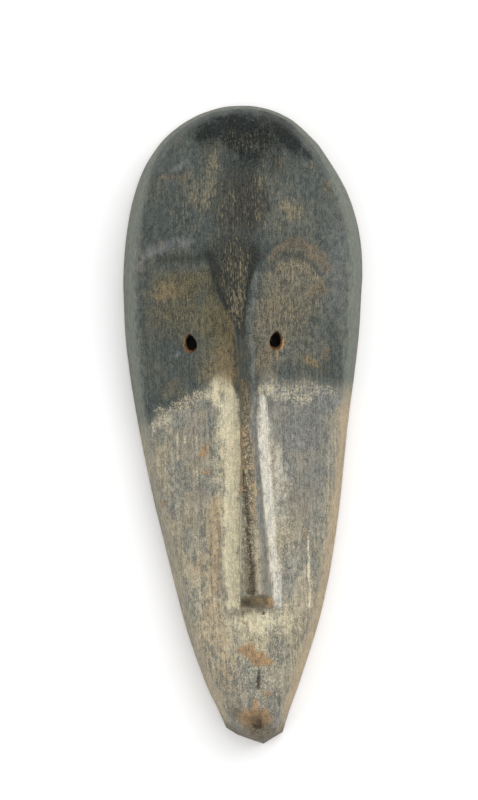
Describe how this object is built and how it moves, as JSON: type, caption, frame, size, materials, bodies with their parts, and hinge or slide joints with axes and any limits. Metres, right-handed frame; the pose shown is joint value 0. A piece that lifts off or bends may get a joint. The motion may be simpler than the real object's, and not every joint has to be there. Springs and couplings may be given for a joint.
{
  "type": "miniature mask",
  "caption": "Small long-faced carved wood mask with a domed forehead, ridged nose, cut-through eyes and a hollow open back, made to hang or be fixed.",
  "frame": {"origin": "middle of the outline's box, on the flat back rim that the mask rests on", "axes": "+X across the face to the right of someone looking at it, +Y along the nose from chin to crown, +Z out of the face"},
  "size_m": [0.075, 0.2, 0.0418],
  "materials": {
    "carved_wood": "worn matt paint on carved hardwood: soot black above, pale clay below, bare brown wood at the edges and inside"
  },
  "bodies": {
    "root": {"mask": "carved_wood"}
  },
  "joints": []
}
